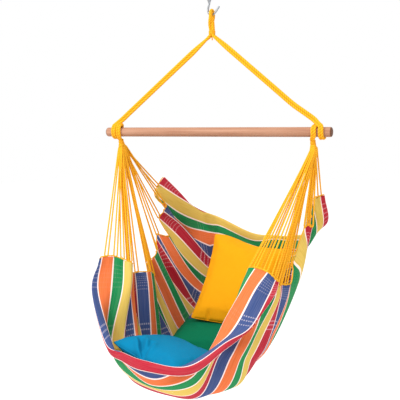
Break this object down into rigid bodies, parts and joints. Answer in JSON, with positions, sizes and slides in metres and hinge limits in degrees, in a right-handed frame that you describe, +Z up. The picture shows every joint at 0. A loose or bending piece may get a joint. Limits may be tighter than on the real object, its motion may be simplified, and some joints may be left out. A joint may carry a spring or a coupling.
{
  "type": "hammock chair",
  "caption": "Hanging hammock chair: striped woven cloth seat on fanned cords, wooden spreader bar, rope bridle and steel swivel hook, with loose cushions.",
  "frame": {"origin": "the point that the chair hangs from: the top of the inside of the swivel eye", "axes": "+Z up, X along the spreader bar with +X to the right of someone looking at the open side, -Y towards the open front"},
  "size_m": [0.981, 0.9338, 1.6183],
  "materials": {
    "steel": "satin, lightly worn",
    "rope": "laid cotton rope, golden yellow",
    "cord": "thin twisted cotton cord, golden yellow",
    "whipping": "tight turns of thin cotton cord",
    "beech": "smooth turned beech, clear coat",
    "striped_cloth": "heavy woven cotton in red, yellow, green, orange and blue stripes with thin white lines; the base colour is the yellow stripe",
    "turquoise": "plain woven cotton cover",
    "green": "plain woven cotton cover",
    "yellow": "plain woven cotton cover"
  },
  "bodies": {
    "swivel_top": {"swivel_eye": "steel"},
    "hook": {"swivel_barrel": "steel", "hanging_hook": "steel"},
    "rope_top": {"rope_loop_inner": "rope", "rope_loop_outer": "rope", "rope_seizing": "whipping"},
    "bridle": {"rope_leg_left_a": "rope", "rope_leg_left_b": "rope", "rope_leg_right_a": "rope", "rope_leg_right_b": "rope", "rope_tail": "rope", "hitch_left_turn_1": "rope", "hitch_left_turn_2": "rope", "hitch_left_turn_3": "rope", "hitch_left_turn_4": "rope", "hitch_right_turn_1": "rope", "hitch_right_turn_2": "rope", "hitch_right_turn_3": "rope", "hitch_right_turn_4": "rope", "spreader_bar": "beech"},
    "seat": {"gather_left": "whipping", "gather_right": "whipping", "fan_cord_left_01": "cord", "fan_cord_left_02": "cord", "fan_cord_left_03": "cord", "fan_cord_left_04": "cord", "fan_cord_left_05": "cord", "fan_cord_left_06": "cord", "fan_cord_left_07": "cord", "fan_cord_left_08": "cord", "fan_cord_left_09": "cord", "fan_cord_left_10": "cord", "fan_cord_left_11": "cord", "fan_cord_left_12": "cord", "fan_cord_left_13": "cord", "fan_cord_left_14": "cord", "fan_cord_left_15": "cord", "fan_cord_left_16": "cord", "fan_cord_right_01": "cord", "fan_cord_right_02": "cord", "fan_cord_right_03": "cord", "fan_cord_right_04": "cord", "fan_cord_right_05": "cord", "fan_cord_right_06": "cord", "fan_cord_right_07": "cord", "fan_cord_right_08": "cord", "fan_cord_right_09": "cord", "fan_cord_right_10": "cord", "fan_cord_right_11": "cord", "fan_cord_right_12": "cord", "fan_cord_right_13": "cord", "fan_cord_right_14": "cord", "fan_cord_right_15": "cord", "fan_cord_right_16": "cord", "fabric_sling": "striped_cloth"},
    "front_cushion": {"cushion_front": "turquoise"},
    "middle_cushion": {"cushion_middle": "green"},
    "back_cushion": {"cushion_back": "yellow"}
  },
  "joints": [
    {"name": "swivel_turn", "type": "hinge", "parent": "swivel_top", "child": "hook", "pos_m": [0, 0, -0.06], "axis": [0, 0, 1], "continuous": true},
    {"name": "swing_fore_aft", "type": "hinge", "parent": "hook", "child": "rope_top", "pos_m": [0.012, 0, -0.1472], "axis": [1, 0, 0], "range_deg": [-28, 28]},
    {"name": "swing_sideways", "type": "hinge", "parent": "rope_top", "child": "bridle", "pos_m": [0.012, 0, -0.216], "axis": [0, 1, 0], "range_deg": [-8, 8]},
    {"name": "seat_rock", "type": "hinge", "parent": "bridle", "child": "seat", "pos_m": [0.012, 0, -0.61], "axis": [1, 0, 0], "range_deg": [-15, 15]},
    {"name": "lift_out_back", "type": "slide", "parent": "middle_cushion", "child": "back_cushion", "axis": [0, 0, 1], "range_m": [0, 0.25]},
    {"name": "lift_out_middle", "type": "slide", "parent": "seat", "child": "middle_cushion", "axis": [0, 0.57, 0.8216], "range_m": [0, 0.12]},
    {"name": "lift_out_front", "type": "slide", "parent": "seat", "child": "front_cushion", "axis": [0, 0, 1], "range_m": [0, 0.25]}
  ]
}
